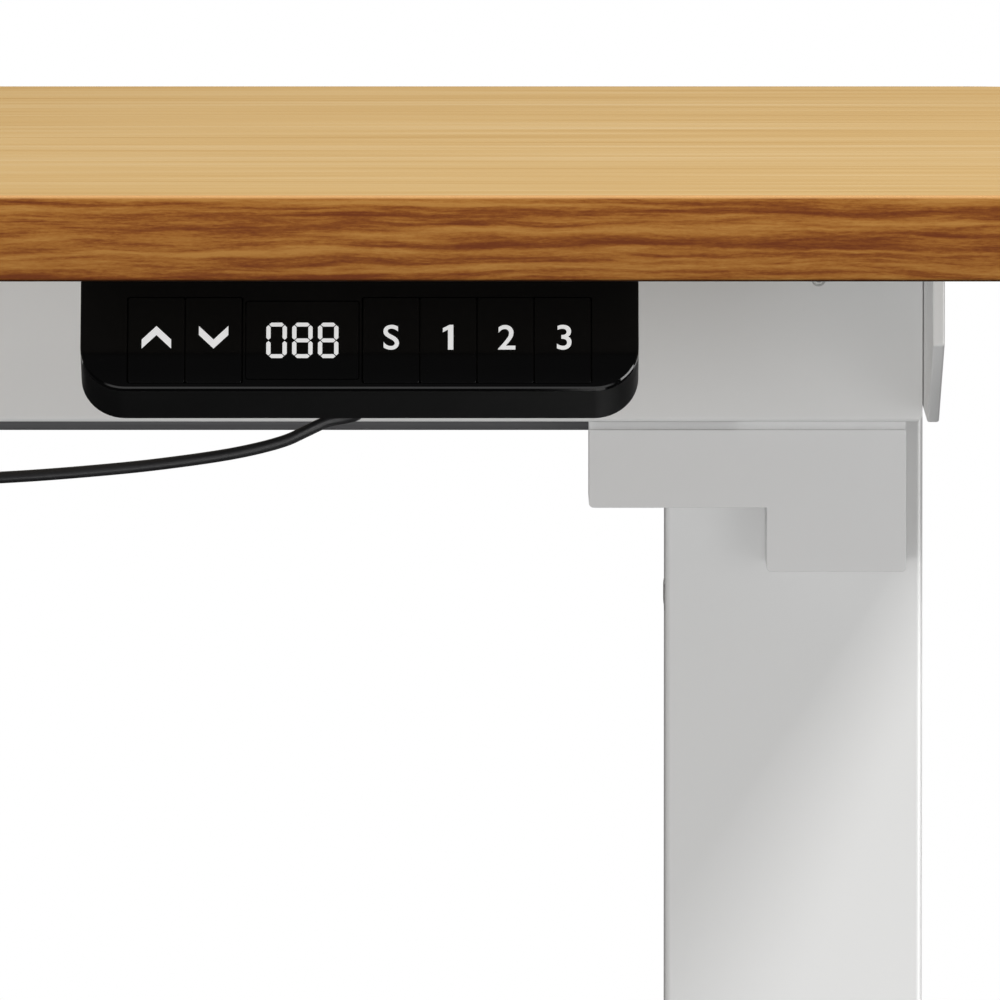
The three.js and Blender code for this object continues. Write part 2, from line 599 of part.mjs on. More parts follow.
for (const [side, mirror] of [['right', 1], ['left', -1]]) {
  const end = new THREE.Group();
  end.scale.x = mirror;
  desk.add(end);
  piece(end, `side_bracket_${side}`, sideBracket(), finish.whitePaint);

  const leg = new THREE.Group();
  leg.position.x = COLUMN.centre;
  end.add(leg);
  piece(leg, `outer_column_${side}`, outerColumn(), finish.whitePaint);
  piece(leg, `glide_sleeve_${side}`, glideSleeve(), finish.whitePlastic);
  piece(leg, `inner_column_${side}`, innerColumn(), finish.whitePaint);
  piece(leg, `spindle_nut_${side}`, spindleNut(), finish.nylon);
  piece(leg, `spindle_${side}`, spindle(), finish.steel);
  piece(leg, `spindle_bearing_${side}`, spindleBearing(), finish.steel);
  piece(leg, `spindle_gear_${side}`, spindleGear(), finish.steel);
  piece(leg, `rod_gear_${side}`, rodGear(), finish.steel).position.set(0, ROD.y, rodZ);
  piece(leg, `gearbox_housing_${side}`, gearboxHousing(), finish.darkSteel);
  piece(leg, `foot_${side}`, foot(), finish.whitePaint);
  for (const [place, turn] of [['rear', 0], ['front', Math.PI]]) {
    piece(leg, `foot_cap_${place}_${side}`, footCap(), finish.whitePlastic).rotation.z = turn;
    const glide = piece(leg, `glide_${place}_${side}`, levellingGlide(), finish.blackPlastic);
    glide.position.y = turn === 0 ? glideY : -glideY;
  }
  if (side === 'right') {
    piece(leg, 'motor', motor(), finish.darkSteel);
    piece(leg, 'reduction_box', reductionBox(), finish.darkSteel);
    piece(leg, 'motor_cover', motorCover(), finish.whitePlastic);
  } else {
    piece(leg, 'gearbox_cover', plainCover(), finish.whitePlastic);
  }
}

piece(desk, 'control_box', controlBox(), finish.blackPlastic);
piece(desk, 'control_box_lid', controlBoxLid(), finish.blackPlastic);
piece(desk, 'control_board', controlBoard(), finish.board);

const handset = new THREE.Group();
handset.position.set(HANDSET.centre, handsetY, handsetZ);
handset.rotation.x = Math.PI / 2 - handsetTilt;
desk.add(handset);
piece(handset, 'handset_housing', handsetHousing(), finish.blackPlastic);
piece(handset, 'handset_face', handsetFace(), finish.glossBlack);
piece(handset, 'display_window', displayWindow(), finish.glossBlack);
piece(handset, 'handset_board', handsetBoard(), finish.board);
['key_up', 'key_down'].forEach((name, i) => {
  piece(handset, name, key(), finish.glossBlack).position.x = leftKeys[0] + (i + 0.5) * KEYS.pitch;
});
['key_store', 'key_1', 'key_2', 'key_3'].forEach((name, i) => {
  piece(handset, name, key(), finish.glossBlack).position.x = rightKeys[0] + (i + 0.5) * KEYS.pitch;
});
piece(handset, 'strain_relief', strainRelief(), finish.blackPlastic)
  .position.set(RELIEF.x, RELIEF.up, -HANDSET.thick - GAP);
piece(desk, 'handset_mount', handsetMount(), finish.blackPlastic);

piece(desk, 'handset_lead', handsetLead(), finish.blackPlastic);
CLIP.at.forEach((x, i) => {
  piece(desk, `cable_clip_${i + 1}`, cableClip(), finish.blackPlastic).position.x = x;
});
piece(desk, 'cable_plug', cablePlug(), finish.blackPlastic);

export default desk;
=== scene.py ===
import json
import math

import bmesh
import bpy
from mathutils import Matrix, Vector

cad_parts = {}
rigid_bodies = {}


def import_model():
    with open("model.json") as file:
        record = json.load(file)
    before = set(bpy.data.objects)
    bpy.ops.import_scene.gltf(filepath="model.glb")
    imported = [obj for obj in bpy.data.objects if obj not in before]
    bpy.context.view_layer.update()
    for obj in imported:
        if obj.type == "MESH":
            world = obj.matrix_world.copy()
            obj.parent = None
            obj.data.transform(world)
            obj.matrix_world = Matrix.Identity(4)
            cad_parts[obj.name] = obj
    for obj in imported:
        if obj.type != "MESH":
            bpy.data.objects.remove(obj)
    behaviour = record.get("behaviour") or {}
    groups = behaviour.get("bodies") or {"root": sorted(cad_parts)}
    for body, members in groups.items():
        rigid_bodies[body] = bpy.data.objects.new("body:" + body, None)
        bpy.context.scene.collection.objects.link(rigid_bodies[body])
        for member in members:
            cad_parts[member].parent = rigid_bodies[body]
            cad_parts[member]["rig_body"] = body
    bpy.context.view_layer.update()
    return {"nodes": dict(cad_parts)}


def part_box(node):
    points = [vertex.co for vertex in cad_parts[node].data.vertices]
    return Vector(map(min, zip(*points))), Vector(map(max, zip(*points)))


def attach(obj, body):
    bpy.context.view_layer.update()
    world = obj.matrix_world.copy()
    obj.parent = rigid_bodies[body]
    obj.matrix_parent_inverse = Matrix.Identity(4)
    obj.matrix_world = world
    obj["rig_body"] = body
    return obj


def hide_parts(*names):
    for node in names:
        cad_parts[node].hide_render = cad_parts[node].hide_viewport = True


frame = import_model()

# ---- Camera ----
# A long lens straight in front of the desk's right half, a little above the board,
# looking at the handset, the end of the crossbeam and the top of the right leg.
LENS = 747.4
CAMERA_X = 0.41295
CAMERA_AWAY = 6.0
CAMERA_ABOVE = 0.3488
CAMERA_DOWN = 0.07273
board_low, board_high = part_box("desktop")
camera = bpy.data.objects.new("camera", bpy.data.cameras.new("camera"))
bpy.context.scene.collection.objects.link(camera)
camera.data.sensor_width = 36
camera.data.lens = LENS
camera.location = (CAMERA_X, board_low.y - CAMERA_AWAY, board_high.z + CAMERA_ABOVE)
camera.rotation_euler = (math.pi / 2 - CAMERA_DOWN, 0, 0)
camera.data.clip_end = 100
bpy.context.scene.camera = camera

# ---- Handset lead ----
# A limp round black lead, 3.5 mm thick, from the handset's strain relief to the plug in the
# control box. It hangs in a shallow curve and is held by two clips under the front rail.
LEAD_RADIUS = 0.00175
LEAD_STEPS = 6
lead_route = [Vector(point) / 1000 for point in (
    (372.0, -259.3, 815.0), (371.0, -256.6, 813.4), (367.6, -254.8, 812.4), (362.9, -254.0, 811.4),
    (356.2, -253.0, 808.3), (350.5, -251.5, 805.6), (337.6, -248.0, 802.0), (314.3, -241.0, 798.0),
    (291.0, -233.0, 795.1), (267.5, -224.0, 792.8), (235.0, -208.0, 790.5), (200.0, -186.0, 789.2),
    (165.0, -158.0, 789.0), (130.0, -126.0, 790.2), (100.0, -96.0, 792.2), (75.0, -74.0, 794.2),
    (47.0, -62.2, 795.2), (33.0, -62.0, 795.2), (-5.0, -61.5, 793.8), (-40.0, -61.2, 793.0),
    (-75.0, -61.5, 793.8), (-113.0, -62.0, 795.2), (-127.0, -61.8, 795.2), (-148.0, -57.5, 795.0),
    (-165.0, -50.0, 796.4), (-181.0, -43.6, 803.5), (-196.0, -37.4, 814.0), (-212.0, -31.8, 825.0),
    (-228.0, -28.4, 831.2), (-243.1, -28.0, 832.0),
)]


def through(points, steps):
    """A smooth line through points, curving between them as its knots are spaced."""
    padded = [2 * points[0] - points[1], *points, 2 * points[-1] - points[-2]]
    line = []
    for p0, p1, p2, p3 in zip(padded, padded[1:], padded[2:], padded[3:]):
        knots = [0.0]
        for a, b in ((p0, p1), (p1, p2), (p2, p3)):
            knots.append(knots[-1] + math.sqrt((b - a).length))
        t0, t1, t2, t3 = knots
        for step in range(steps):
            t = t1 + (t2 - t1) * step / steps
            a1 = p0.lerp(p1, (t - t0) / (t1 - t0))
            a2 = p1.lerp(p2, (t - t1) / (t2 - t1))
            a3 = p2.lerp(p3, (t - t2) / (t3 - t2))
            b1 = a1.lerp(a2, (t - t0) / (t2 - t0))
            b2 = a2.lerp(a3, (t - t1) / (t3 - t1))
            line.append(b1.lerp(b2, (t - t1) / (t2 - t1)))
    return line + [points[-1]]


class Socket:
    """A shader socket that can be written into sums and products."""

    def __init__(self, tree, port=None):
        self.tree = tree
        self.port = port

    def node(self, kind, settings=None, values=None, out=0):
        made = self.tree.nodes.new(kind)
        for name, value in (settings or {}).items():
            if name == "stops":
                ramp = made.color_ramp.elements
                while len(ramp) < len(value):
                    ramp.new(1.0)
                for stop, (place, shade) in zip(ramp, value):
                    stop.position = place
                    stop.color = (*shade, 1.0) if isinstance(shade, tuple) else (shade, shade, shade, 1.0)
            else:
                setattr(made, name, value)
        for name, value in (values or {}).items():
            if isinstance(value, Socket):
                self.tree.links.new(value.port, made.inputs[name])
            else:
                made.inputs[name].default_value = value
        return Socket(self.tree, made.outputs[out])

    def maths(self, operation, *values):
        return self.node("ShaderNodeMath", {"operation": operation}, dict(enumerate(values)))

    def __add__(self, other):
        return self.maths("ADD", self, other)

    def __sub__(self, other):
        return self.maths("SUBTRACT", self, other)

    def __rsub__(self, other):
        return self.maths("SUBTRACT", other, self)

    def __mul__(self, other):
        return self.maths("MULTIPLY", self, other)

    __radd__ = __add__
    __rmul__ = __mul__

    def mix(self, first, second):
        """From the first colour to the second as this socket goes from 0 to 1."""
        settings = {"data_type": "RGBA"}
        return self.node("ShaderNodeMix", settings, {0: self, 6: first, 7: second}, out=2)

    def ramp(self, *stops):
        return self.node("ShaderNodeValToRGB", {"stops": stops}, {0: self})

    def noise(self, where, scale, detail=3.0, **more):
        """Noise over a position that is first stretched by a scale for each axis."""
        place = self.node("ShaderNodeMapping", {}, {"Vector": where, "Scale": scale})
        values = {"Vector": place, "Scale": 1.0, "Detail": detail, **more}
        return self.node("ShaderNodeTexNoise", {}, values)

    def here(self, kind="Object"):
        """The position on the object, on its flat layout for UV, or the direction for Generated."""
        order = {"Generated": 0, "UV": 2, "Object": 3}
        return self.node("ShaderNodeTexCoord", out=order[kind])


def material(name, color, roughness, metallic=0.0, **plain):
    """A material with plain values, and the empty socket that its shader maths starts from."""
    made = bpy.data.materials.new(name)
    made.use_nodes = True
    shader = made.node_tree.nodes["Principled BSDF"]
    plain = {k.replace("_", " "): v for k, v in plain.items()}
    plain = {"Roughness": roughness, "Metallic": metallic, **plain}
    shader.inputs["Base Color"].default_value = (*color, 1.0)
    for socket, value in plain.items():
        shader.inputs[socket].default_value = value
    return made, Socket(made.node_tree)


def drive(made, **sockets):
    """Links shader maths to a material's sockets."""
    shader = made.node_tree.nodes["Principled BSDF"]
    for name, value in sockets.items():
        made.node_tree.links.new(value.port, shader.inputs[name.replace("_", " ")])


def relief(start, height, distance, strength=1.0):
    """A normal that is bumped by a height, at a distance in metres."""
    values = {"Height": height, "Distance": distance, "Strength": strength}
    return start.node("ShaderNodeBump", {}, values)


lead_pvc, s = material("lead_pvc", (0.012, 0.012, 0.013), 0.42)
scuff = s.noise(s.here(), (60, 60, 60), 4.0)
drive(lead_pvc, Base_Color=scuff.mix((0.009, 0.009, 0.010, 1), (0.018, 0.018, 0.019, 1)),
      Roughness=scuff * 0.2 + 0.32, Normal=relief(s, s.noise(s.here(), (900, 900, 900)), 0.00005))

lead_line = through(lead_route, LEAD_STEPS)
lead_curve = bpy.data.curves.new("handset_lead_cable", "CURVE")
lead_curve.dimensions = "3D"
spline = lead_curve.splines.new("POLY")
spline.points.add(len(lead_line) - 1)
for place, point in zip(spline.points, lead_line):
    place.co = (*point, 1.0)
lead_curve.bevel_depth = LEAD_RADIUS
lead_curve.bevel_resolution = 5
lead_curve.use_fill_caps = True
spline.use_smooth = True
lead = bpy.data.objects.new("handset_lead_cable", lead_curve)
bpy.context.scene.collection.objects.link(lead)
lead_curve.materials.append(lead_pvc)
lead_length = sum((b - a).length for a, b in zip(lead_line, lead_line[1:]))
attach(lead, "upper_frame")
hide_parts("handset_lead")

# ---- Desktop ----
# A 25 mm board with light oak laminate on its top, a plain kraft backing sheet under it and a
# darker oak edge band glued round it. The arrises are rounded over once the band is trimmed.
CORNER = 0.040
ARRIS = 0.0012
CORNER_STEPS = 24


def new_object(name, mesh, *materials):
    """An object in the scene with its materials in order."""
    made = bpy.data.objects.new(name, mesh)
    bpy.context.scene.collection.objects.link(made)
    for one in materials:
        made.data.materials.append(one)
    return made


def round_rect(x0, x1, y0, y1, radius, steps=12):
    """Corners of a rounded rectangle, anticlockwise from its lower right corner's arc."""
    points = []
    for quarter, (cx, cy) in enumerate((
            (x1 - radius, y0 + radius), (x1 - radius, y1 - radius),
            (x0 + radius, y1 - radius), (x0 + radius, y0 + radius))):
        for step in range(steps + 1):
            angle = math.radians(-90 + 90 * (quarter + step / steps))
            points.append((cx + radius * math.cos(angle), cy + radius * math.sin(angle)))
    return points


def loft(name, rings, caps=(0, 0), sides=0):
    """A closed mesh through rings of equal length, with a material number for its caps and sides."""
    shape = bmesh.new()
    loops = [[shape.verts.new(point) for point in one] for one in rings]
    count = len(loops[0])
    flat = shape.loops.layers.uv.new("UVMap")
    run = [0.0]
    widest = max(rings, key=lambda one: sum((Vector(b) - Vector(a)).length for a, b in zip(one, one[1:])))
    for a, b in zip(widest, [*widest[1:], widest[0]]):
        run.append(run[-1] + (Vector(b) - Vector(a)).length)
    for lower, upper in zip(loops, loops[1:]):
        for i in range(count):
            j = (i + 1) % count
            face = shape.faces.new((lower[i], lower[j], upper[j], upper[i]))
            face.material_index = sides
            face.smooth = True
            for corner, along in zip(face.loops, (run[i], run[i + 1], run[i + 1], run[i])):
                corner[flat].uv = (along, corner.vert.co.z)
    for ring, slot, turn in ((loops[0], caps[0], -1), (loops[-1], caps[1], 1)):
        face = shape.faces.new(ring[::turn])
        face.material_index = slot
    mesh = bpy.data.meshes.new(name)
    shape.to_mesh(mesh)
    shape.free()
    return mesh


def rounded_over(radius, steps=4):
    """Inset and rise of a quarter round, from the side face to the flat one."""
    return [(radius * (1 - math.cos(a)), radius * math.sin(a))
            for a in (math.pi / 2 * i / steps for i in range(steps + 1))]


def board_ring(inset, z):
    """The board's outline at a height, drawn in by an inset."""
    return [(x, y, z) for x, y in round_rect(
        board_low.x + inset, board_high.x - inset, board_low.y + inset, board_high.y - inset,
        CORNER - inset, CORNER_STEPS)]


turn_over = rounded_over(ARRIS)
board_rings = [board_ring(inset, board_low.z + ARRIS - rise) for inset, rise in reversed(turn_over)]
board_rings += [board_ring(inset, board_high.z - ARRIS + rise) for inset, rise in turn_over]

top_oak, s = material("top_oak", (0.62, 0.42, 0.20), 0.48, Specular_IOR_Level=0.3)
where = s.here()
broad = s.noise(where, (1.3, 26, 1), 2.0)
streak = s.noise(where, (3.5, 130, 1), 5.0, Roughness=0.62)
fibre = s.noise(where, (12, 700, 1), 3.0)
grain = streak * 0.62 + broad * 0.23 + fibre * 0.15
tone = grain.ramp(
    (0.34, (0.630, 0.365, 0.110)), (0.44, (0.690, 0.430, 0.150)),
    (0.53, (0.730, 0.480, 0.190)), (0.64, (0.765, 0.540, 0.260)))
drive(top_oak, Base_Color=tone, Roughness=streak * 0.22 + 0.36,
      Normal=relief(s, streak * 0.5 + fibre * 0.5, 0.00008, 0.25))

edge_oak, s = material("edge_oak", (0.38, 0.15, 0.035), 0.42, Specular_IOR_Level=0.1)
where = s.here("UV")
sway = s.noise(where, (16, 60, 1), 3.0)
shifted = s.node("ShaderNodeVectorMath", {"operation": "ADD"}, {
    0: where, 1: s.node("ShaderNodeCombineXYZ", {}, {"X": 0.0, "Y": sway * 0.006, "Z": 0.0})})
bands = s.noise(shifted, (7, 310, 1), 2.0, Roughness=0.5)
threads = s.noise(shifted, (46, 640, 1), 4.0, Roughness=0.7)
pores = s.noise(where, (420, 1900, 1), 3.0, Roughness=0.7)
grain = bands * 0.52 + threads * 0.34 + pores * 0.14
tone = grain.ramp(
    (0.40, (0.150, 0.032, 0.004)), (0.465, (0.230, 0.067, 0.008)),
    (0.52, (0.330, 0.124, 0.019)), (0.60, (0.425, 0.192, 0.040)))
height = s.node("ShaderNodeSeparateXYZ", {}, {"Vector": s.here()}, out=2)
# Painted highlight: the edge band is mixed lighter along its top arris, where the rounding catches the
# light from above.
painted_highlight_mask = s.node("ShaderNodeMapRange", {}, {
    "Value": height, "From Min": board_high.z - 0.0011, "From Max": board_high.z - 0.0004})
# Painted shade: the edge band is mixed to near black along its bottom arris, where the underside of the
# rounding lies in shadow.
painted_shade_mask = s.node("ShaderNodeMapRange", {}, {
    "Value": height, "From Min": board_low.z + 0.0008, "From Max": board_low.z + 0.0003})
tone = painted_shade_mask.mix(painted_highlight_mask.mix(tone, (0.62, 0.34, 0.13, 1)), (0.02, 0.006, 0.001, 1))
drive(edge_oak, Base_Color=tone, Roughness=threads * 0.25 + 0.38,
      Normal=relief(s, threads, 0.00015, 0.6))

backing, s = material("backing_sheet", (0.56, 0.50, 0.43), 0.7)
pulp = s.noise(s.here(), (260, 260, 260), 4.0)
drive(backing, Base_Color=pulp.mix((0.54, 0.475, 0.40, 1), (0.66, 0.59, 0.51, 1)),
      Roughness=pulp * 0.2 + 0.6, Normal=relief(s, pulp, 0.00005, 0.4))

board_mesh = loft("desktop_board", board_rings, caps=(2, 0), sides=1)
board = new_object("desktop_board", board_mesh, top_oak, edge_oak, backing)
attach(board, "upper_frame")
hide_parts("desktop")

# ---- Powder-coated steel: rails, side brackets and columns ----
# Folded and welded sheet steel in satin white powder coat. Each piece keeps its cut shape and
# gets the small rounding that the bend and the coat leave on every edge.
white_coat, s = material("white_coat", (0.80, 0.80, 0.79), 0.42, Specular_IOR_Level=0.4)
where = s.here()
peel = s.noise(where, (420, 420, 420), 2.0)
cloud = s.noise(where, (5, 5, 5), 3.0)
drive(white_coat, Base_Color=cloud.mix((0.785, 0.785, 0.775, 1), (0.825, 0.825, 0.82, 1)),
      Roughness=cloud * 0.16 + 0.34, Normal=relief(s, peel, 0.00004, 0.35))

SHARP = math.radians(35)


def clean_copy(node):
    """A node's own shape with its flat faces whole, and its sharp outer edges."""
    shape = bmesh.new()
    shape.from_mesh(frame["nodes"][node].data)
    shape.edges.layers.float.new("bevel_weight_edge")
    bmesh.ops.remove_doubles(shape, verts=shape.verts, dist=1e-6)
    bmesh.ops.dissolve_limit(
        shape, angle_limit=math.radians(0.5), verts=shape.verts, edges=shape.edges,
        use_dissolve_boundaries=False)
    for face in shape.faces:
        face.smooth = True
    sharp_edges = [edge for edge in shape.edges
                   if edge.is_manifold and edge.is_convex and edge.calc_face_angle() > SHARP]
    return shape, sharp_edges


def stand_in(node, shape, finish):
    """The finished shape as a piece that stands for the node and rides its body."""
    mesh = bpy.data.meshes.new(f"{node}_shell")
    shape.to_mesh(mesh)
    shape.free()
    made = new_object(mesh.name, mesh, finish)
    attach(made, frame["nodes"][node]["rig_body"])
    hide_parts(node)
    return made


def softened(node, radius, finish):
    """A piece in a node's own shape with its outer edges rounded."""
    shape, sharp_edges = clean_copy(node)
    weight = shape.edges.layers.float["bevel_weight_edge"]
    for edge in sharp_edges:
        edge[weight] = 1.0
    made = stand_in(node, shape, finish)
    bevel = made.modifiers.new("edges", "BEVEL")
    bevel.width = radius
    bevel.segments = 3
    bevel.limit_method = "WEIGHT"
    flat = made.modifiers.new("flat_faces", "WEIGHTED_NORMAL")
    flat.mode = "FACE_AREA"
    flat.weight = 100
    return made


sides = ("right", "left")
softened("front_rail", 0.0006, white_coat)
softened("rear_rail", 0.0006, white_coat)
for side in sides:
    softened(f"side_bracket_{side}", 0.0007, white_coat)
    softened(f"outer_column_{side}", 0.0004, white_coat)
    softened(f"inner_column_{side}", 0.0004, white_coat)
    softened(f"foot_{side}", 0.0005, white_coat)

# ---- White mouldings: motor cover, gearbox cover, glide sleeves and foot caps ----
# Injection-moulded plastic with a fine spark texture, a little greyer than the coated steel.
white_abs, s = material("white_abs", (0.78, 0.78, 0.775), 0.5, Specular_IOR_Level=0.35)
where = s.here()
spark = s.noise(where, (1500, 1500, 1500), 2.0)
cloud = s.noise(where, (7, 7, 7), 2.0)
drive(white_abs, Base_Color=cloud.mix((0.765, 0.765, 0.765, 1), (0.80, 0.80, 0.795, 1)),
      Roughness=cloud * 0.14 + 0.42, Normal=relief(s, spark, 0.00003, 0.4))
softened("motor_cover", 0.0006, white_abs)
softened("gearbox_cover", 0.0006, white_abs)
for side in sides:
    softened(f"glide_sleeve_{side}", 0.0004, white_abs)
    for place in ("front", "rear"):
        softened(f"foot_cap_{place}_{side}", 0.0012, white_abs)

# ---- Steel drive train: hex rod, spindles, bearings, gears, housings and motor ----
# Blackened hex bar, turned screws and bearings, and die-cast housings with a rough grey skin.
black_steel, s = material("black_steel", (0.10, 0.10, 0.105), 0.36, 0.55)
where = s.here()
drawn = s.noise(where, (6, 800, 800), 3.0)
drive(black_steel, Base_Color=drawn.mix((0.11, 0.11, 0.115, 1), (0.18, 0.18, 0.185, 1)),
      Roughness=drawn * 0.2 + 0.28, Normal=relief(s, drawn, 0.00003, 0.4))
bright_steel, s = material("bright_steel", (0.52, 0.53, 0.55), 0.3, 0.95)
where = s.here()
turning = s.noise(where, (40, 40, 2200), 2.0)
drive(bright_steel, Base_Color=turning.mix((0.44, 0.45, 0.47, 1), (0.60, 0.61, 0.63, 1)),
      Roughness=turning * 0.25 + 0.2, Normal=relief(s, turning, 0.00004, 0.5))
die_cast, s = material("die_cast", (0.12, 0.12, 0.125), 0.55, 0.6)
skin = s.noise(s.here(), (700, 700, 700), 4.0)
drive(die_cast, Base_Color=skin.mix((0.10, 0.10, 0.105, 1), (0.16, 0.16, 0.165, 1)),
      Roughness=skin * 0.25 + 0.4, Normal=relief(s, skin, 0.0001, 0.5))
nylon, s = material("natural_nylon", (0.80, 0.78, 0.70), 0.5, Subsurface_Weight=0.1)
milky = s.noise(s.here(), (90, 90, 90), 3.0)
drive(nylon, Base_Color=milky.mix((0.76, 0.74, 0.66, 1), (0.84, 0.82, 0.74, 1)),
      Roughness=milky * 0.2 + 0.4)

softened("drive_rod", 0.0005, black_steel)
softened("motor", 0.0006, die_cast)
softened("reduction_box", 0.0012, die_cast)
for side in sides:
    softened(f"gearbox_housing_{side}", 0.0008, die_cast)
    softened(f"spindle_bearing_{side}", 0.0004, bright_steel)
    softened(f"spindle_gear_{side}", 0.0005, bright_steel)
    softened(f"rod_gear_{side}", 0.0005, bright_steel)
    softened(f"spindle_{side}", 0.0003, bright_steel)
    softened(f"spindle_nut_{side}", 0.0006, nylon)

# ---- Handset ----
# A slim tilted handset under the board's front edge: a matt black housing, a polished black face
# plate, six keys flush with it and a smoked display window.
piano_black, s = material("piano_black", (0.0015, 0.0015, 0.0016), 0.1, Specular_IOR_Level=0.17)
haze = s.noise(s.here(), (35, 35, 35), 3.0)
drive(piano_black, Base_Color=haze.mix((0.0012, 0.0012, 0.0013, 1), (0.0022, 0.0022, 0.0023, 1)),
      Roughness=haze * 0.06 + 0.07)
satin_black, s = material("satin_black", (0.004, 0.004, 0.0041), 0.45, Specular_IOR_Level=0.15)
haze = s.noise(s.here(), (50, 50, 50), 3.0)
drive(satin_black, Base_Color=haze.mix((0.0030, 0.0030, 0.0031, 1), (0.0050, 0.0050, 0.0052, 1)),
      Roughness=haze * 0.1 + 0.42)
# The white legends and display segments give off a faint emission. On the printed key legends this is a
# painted glow; on the display's segments it stands for their own light.
legend_white, s = material("legend_white", (0.8, 0.8, 0.8), 0.5)
legend_white.node_tree.nodes["Principled BSDF"].inputs["Emission Strength"].default_value = 0.3
glow = s.noise(s.here(), (300, 300, 300), 1.0)
drive(legend_white, Emission_Color=glow.mix((0.86, 0.86, 0.86, 1), (0.95, 0.95, 0.95, 1)))

# The handset's own axes: x along it, y up its face and z out of the face.
TILT = math.radians(30)
FACE_THICK = 0.002
up_face = Vector((0, math.sin(TILT), math.cos(TILT)))
out_of_face = Vector((0, -math.cos(TILT), math.sin(TILT)))
face_low, face_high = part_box("handset_face")
foot_of_face = Vector((
    (face_low.x + face_high.x) / 2, face_low.y, face_low.z + FACE_THICK * math.sin(TILT)))
on_face = Matrix((Vector((1, 0, 0)), up_face, out_of_face)).transposed().to_4x4()
on_face.translation = foot_of_face

softened("handset_housing", 0.0008, satin_black)

# The face plate has a polished flat chamfer round its rim, which catches the light in one line.
# Its window and key openings, which lie inside these limits, stay sharp.
CHAMFER = 0.0004
OPENINGS_HALF = 0.0685
OPENINGS_FOOT, OPENINGS_TOP = 0.001, 0.033
plate, plate_edges = clean_copy("handset_face")
rim = []
for edge in plate_edges:
    middle = on_face.inverted() @ ((edge.verts[0].co + edge.verts[1].co) / 2)
    inside = abs(middle.x) <= OPENINGS_HALF and OPENINGS_FOOT <= middle.y <= OPENINGS_TOP
    if middle.z > -0.0001 and not inside:
        rim.append(edge)
bmesh.ops.bevel(
    plate, geom=rim, offset=CHAMFER, offset_type="OFFSET", segments=1, profile=0.5, affect="EDGES")
for face in plate.faces:
    face.smooth = True
for edge in plate.edges:
    edge.smooth = edge.is_manifold and edge.calc_face_angle() < math.radians(30)
stand_in("handset_face", plate, piano_black)
softened("display_window", 0.0001, piano_black)
for key in ("key_up", "key_down", "key_store", "key_1", "key_2", "key_3"):
    softened(key, 0.00012, piano_black)

PRINT = 0.00006


def printed(name, outline, centre, body):
    """A flat mark in white, a hair proud of the face it is printed on."""
    rings = [[(centre[0] + x, centre[1] + y, z) for x, y in outline] for z in (0.00002, PRINT)]
    mesh = loft(name, rings)
    mesh.transform(on_face)
    made = new_object(name, mesh, legend_white)
    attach(made, body)
    return made


def key_centre(key):
    """How far along the face from its middle a key sits."""
    low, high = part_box(key)
    return (low.x + high.x) / 2 - foot_of_face.x


LEGEND_UP = 0.0164
LETTER_SIZE = 0.0112
wide, tall, stroke = 0.00428, 0.00364, 0.0029
chevron = [
    (-wide, -tall), (0, tall - stroke), (wide, -tall),
    (wide, stroke - tall), (0, tall), (-wide, stroke - tall)]
printed("up_arrow", chevron, (key_centre("key_up"), LEGEND_UP), "key_up_cap")
printed("down_arrow", [(x, -y) for x, y in reversed(chevron)], (key_centre("key_down"), LEGEND_UP),
        "key_down_cap")

one = [
    (-0.12, -4.02), (1.45, -4.02), (1.45, 4.02), (0.32, 4.02), (-1.6, 2.95), (-1.6, 1.6), (-0.12, 2.5)]
printed("key_1_legend", [(x / 1000, y / 1000) for x, y in one], (key_centre("key_1"), LEGEND_UP),
        "key_1_cap")

# The other legends are set in a plain face, the 2 and the 3 a little right of their keys' middles.
for key, letter, aside in (("key_store", "S", 0), ("key_2", "2", 0.00035), ("key_3", "3", 0.00045)):
    text = bpy.data.curves.new(f"{key}_text", "FONT")
    text.body = letter
    text.size = LETTER_SIZE
    text.offset = 0.0001
    text.extrude = PRINT / 2
    text.align_x = "CENTER"
    text.align_y = "CENTER"
    holder = bpy.data.objects.new(f"{key}_text", text)
    bpy.context.scene.collection.objects.link(holder)
    bpy.context.view_layer.update()
    depsgraph = bpy.context.evaluated_depsgraph_get()
    mesh = bpy.data.meshes.new_from_object(holder.evaluated_get(depsgraph))
    bpy.data.objects.remove(holder)
    across, up = ([v.co[axis] for v in mesh.vertices] for axis in (0, 1))
    middle = ((min(across) + max(across)) / 2, (min(up) + max(up)) / 2)
    mesh.transform(Matrix.Translation(
        (key_centre(key) + aside - middle[0], LEGEND_UP - middle[1], PRINT / 2)))
    mesh.transform(on_face)
    mark = new_object(f"{key}_legend", mesh, legend_white)
    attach(mark, f"{key}_cap")

# The display shows three seven-segment digits, 088; each segment is a slim six-sided bar.
DIGIT = (0.0047, 0.0102)
DIGIT_PITCH = 0.0075
DIGIT_UP = 0.0154
SEGMENT = 0.00125
SEGMENT_GAP = 0.0002
segments = {
    "a": (0, 1, True), "g": (0, 0, True), "d": (0, -1, True),
    "b": (1, 0.5, False), "c": (1, -0.5, False), "e": (-1, -0.5, False), "f": (-1, 0.5, False),
}
window_low, window_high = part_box("display_window")
display_x = (window_low.x + window_high.x) / 2 - foot_of_face.x
for place, lit in enumerate(("abcdef", "abcdefg", "abcdefg")):
    for letter in lit:
        right, up, level = segments[letter]
        half = (DIGIT[0] if level else DIGIT[1] / 2) / 2 - SEGMENT_GAP
        w = SEGMENT / 2
        bar = [(-half, 0), (-half + w, -w), (half - w, -w), (half, 0), (half - w, w), (-half + w, w)]
        if not level:
            bar = [(-y, x) for x, y in bar]
        centre = (display_x + (place - 1) * DIGIT_PITCH + right * DIGIT[0] / 2,
                  DIGIT_UP + up * DIGIT[1] / 2)
        printed(f"digit_{place + 1}_segment_{letter}", bar, centre, "upper_frame")
